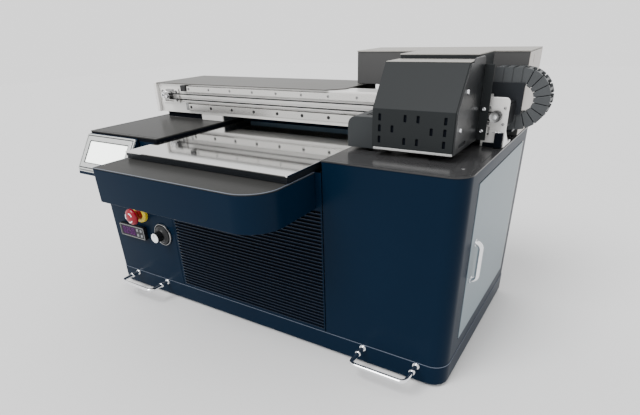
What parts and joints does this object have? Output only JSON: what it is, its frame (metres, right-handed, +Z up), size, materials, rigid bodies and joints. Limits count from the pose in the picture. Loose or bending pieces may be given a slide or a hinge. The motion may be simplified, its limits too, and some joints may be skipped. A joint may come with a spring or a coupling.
{
  "type": "flatbed uv printer",
  "caption": "Benchtop flatbed UV printer: navy sheet-metal cabinet, sliding table, gantry beam with belt-driven print carriage, cable chain, touch console and service door.",
  "frame": {"origin": "on the ground, under the middle of the overall box", "axes": "+X to the operator's right, +Y away from the operator, +Z up"},
  "size_m": [0.847, 0.533, 0.499],
  "materials": {
    "navy powder coat": "semi-gloss powder coat",
    "charcoal powder coat": "fine texture powder coat",
    "grey powder coat": "fine texture powder coat",
    "pale grey paint": "satin paint",
    "white anodised aluminium": "satin anodised",
    "cover sheet": "satin paint",
    "polished aluminium": "polished",
    "ground steel": "ground",
    "chrome": "polished chrome",
    "black rubber": "matt rubber",
    "black plastic": "fine texture",
    "chain nylon": "moulded nylon",
    "red plastic": "gloss",
    "yellow plastic": "satin",
    "navy plastic": "satin",
    "screen glass": "glossy display cover",
    "black motor": "satin",
    "black aluminium": "black anodised"
  },
  "bodies": {
    "cabinet": {"plinth": "navy powder coat", "left_column": "navy powder coat", "right_column": "navy powder coat", "louvre_panel": "navy powder coat", "rear_panel": "navy powder coat", "table_housing": "navy powder coat", "foot_front_left": "black rubber", "foot_front_right": "black rubber", "foot_rear_left": "black rubber", "foot_rear_right": "black rubber", "x_belt": "black rubber", "handle_left": "chrome", "handle_right": "chrome", "selector_ring": "chrome", "door_hinge_pin": "ground steel", "table_rail_left": "ground steel", "table_rail_right": "ground steel", "rail_upper": "ground steel", "rail_lower": "ground steel", "estop_collar": "yellow plastic", "temperature_controller": "black plastic", "console_housing": "navy plastic", "touch_screen": "screen glass", "inner_frame": "grey powder coat", "rear_box": "grey powder coat", "leadscrew_motor": "black motor", "x_motor": "black motor", "pillar_left": "white anodised aluminium", "pillar_right": "white anodised aluminium", "beam": "white anodised aluminium", "end_plate_left": "white anodised aluminium", "end_bracket_right": "white anodised aluminium", "beam_cover": "cover sheet", "chain_lower": "chain nylon"},
    "service_door": {"service_door": "pale grey paint", "door_pull": "chrome"},
    "stop_button": {"estop_head": "red plastic"},
    "key_1": {"key_1": "black plastic"},
    "key_2": {"key_2": "black plastic"},
    "key_3": {"key_3": "black plastic"},
    "key_4": {"key_4": "black plastic"},
    "selector": {"selector_knob": "black plastic"},
    "table": {"table_block_left": "ground steel", "table_block_right": "ground steel", "table_sled": "black aluminium", "table_plate": "polished aluminium"},
    "leadscrew": {"leadscrew": "ground steel"},
    "carriage": {"block_upper": "ground steel", "block_lower": "ground steel", "carriage_plate": "polished aluminium", "carriage_cover": "charcoal powder coat", "head_plate": "polished aluminium", "printhead": "black plastic", "carriage_side_panel": "charcoal powder coat", "ink_box": "black plastic", "uv_lamp": "charcoal powder coat", "chain_upper": "chain nylon"},
    "chain_bend": {"chain_bend": "chain nylon"},
    "idler_pulley": {"idler_pulley": "ground steel"},
    "motor_pulley": {"motor_pulley": "ground steel"}
  },
  "joints": [
    {"name": "table_slide", "type": "slide", "parent": "cabinet", "child": "table", "axis": [0, 1, 0], "range_m": [-0.06, 0.13]},
    {"name": "leadscrew_spin", "type": "hinge", "parent": "cabinet", "child": "leadscrew", "pos_m": [-0.039, 0.0565, 0.3], "axis": [0, 1, 0], "range_deg": [-2200, 4750]},
    {"name": "carriage_slide", "type": "slide", "parent": "cabinet", "child": "carriage", "axis": [-1, 0, 0], "range_m": [0, 0.5]},
    {"name": "chain_slide", "type": "slide", "parent": "carriage", "child": "chain_bend", "axis": [1, 0, 0], "range_m": [0, 0.26], "deforming": ["chain_upper", "chain_lower"]},
    {"name": "idler_spin", "type": "hinge", "parent": "cabinet", "child": "idler_pulley", "pos_m": [-0.3685, 0.0565, 0.41], "axis": [0, 1, 0], "range_deg": [-5200, 60]},
    {"name": "motor_spin", "type": "hinge", "parent": "cabinet", "child": "motor_pulley", "pos_m": [0.3585, 0.0565, 0.41], "axis": [0, 1, 0], "range_deg": [-5200, 60]},
    {"name": "door_hinge", "type": "hinge", "parent": "cabinet", "child": "service_door", "pos_m": [0.3748, 0.2327, 0.2045], "axis": [0, 0, 1], "range_deg": [0, 105]},
    {"name": "stop_push", "type": "slide", "parent": "cabinet", "child": "stop_button", "axis": [0, 1, 0], "range_m": [0, 0.004]},
    {"name": "selector_turn", "type": "hinge", "parent": "cabinet", "child": "selector", "pos_m": [-0.2545, -0.1235, 0.158], "axis": [0, -1, 0], "range_deg": [-90, 90]},
    {"name": "key_1_press", "type": "slide", "parent": "cabinet", "child": "key_1", "axis": [0, 1, 0], "range_m": [0, 0.0012], "stiffness_N_per_m": 200},
    {"name": "key_2_press", "type": "slide", "parent": "cabinet", "child": "key_2", "axis": [0, 1, 0], "range_m": [0, 0.0012], "stiffness_N_per_m": 200},
    {"name": "key_3_press", "type": "slide", "parent": "cabinet", "child": "key_3", "axis": [0, 1, 0], "range_m": [0, 0.0012], "stiffness_N_per_m": 200},
    {"name": "key_4_press", "type": "slide", "parent": "cabinet", "child": "key_4", "axis": [0, 1, 0], "range_m": [0, 0.0012], "stiffness_N_per_m": 200}
  ],
  "couplings": [
    {"joint": "leadscrew_spin", "follows": "table_slide", "rad_per_m": 628.32},
    {"joint": "idler_spin", "follows": "carriage_slide", "rad_per_m": -178.57},
    {"joint": "motor_spin", "follows": "carriage_slide", "rad_per_m": -178.57},
    {"joint": "chain_slide", "follows": "carriage_slide", "ratio": 0.5}
  ]
}
